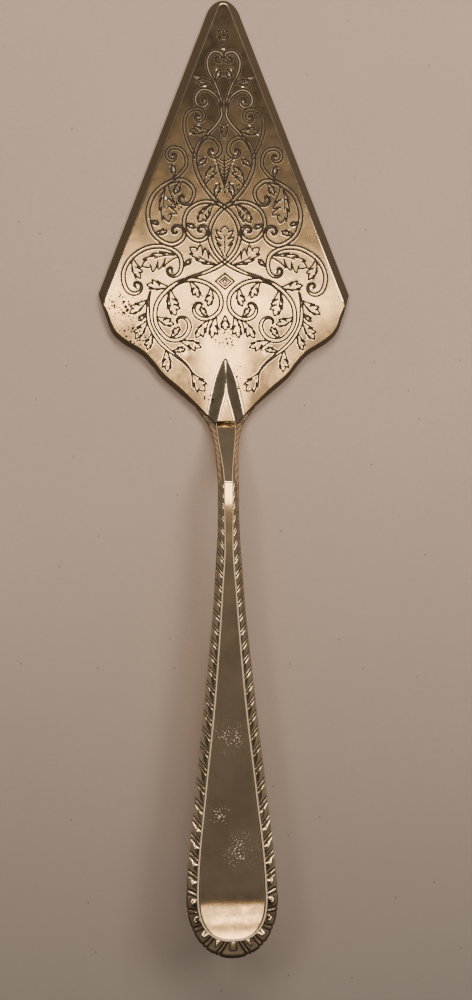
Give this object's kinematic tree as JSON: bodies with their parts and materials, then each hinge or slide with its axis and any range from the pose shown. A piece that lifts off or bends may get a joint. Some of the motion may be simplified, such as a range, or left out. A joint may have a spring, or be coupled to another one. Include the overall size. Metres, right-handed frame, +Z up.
{
  "type": "cake server",
  "caption": "Cake server: flat engraved triangular blade with turned-down edges on a raised, hollow, border-trimmed handle.",
  "frame": {"origin": "middle of the whole outline in plan, on the surface that the server lies on", "axes": "+Y along the server towards the blade's tip, +X to the right seen from above, +Z up out of the serving field"},
  "size_m": [0.07, 0.257, 0.0257],
  "materials": {
    "plated_blade": "worn, tarnished silver plate, engraved",
    "plated_handle": "worn, tarnished silver plate, polished panel",
    "bare_nickel_silver": "dull cast nickel silver",
    "solder": "dull grey solder",
    "cement": "brown resin setting"
  },
  "bodies": {
    "root": {"blade": "plated_blade", "root_tang": "bare_nickel_silver", "palm_solder": "solder", "handle_front_shell": "plated_handle", "handle_back_shell": "plated_handle", "handle_seam_solder": "solder", "tang_cement": "cement"}
  },
  "joints": []
}
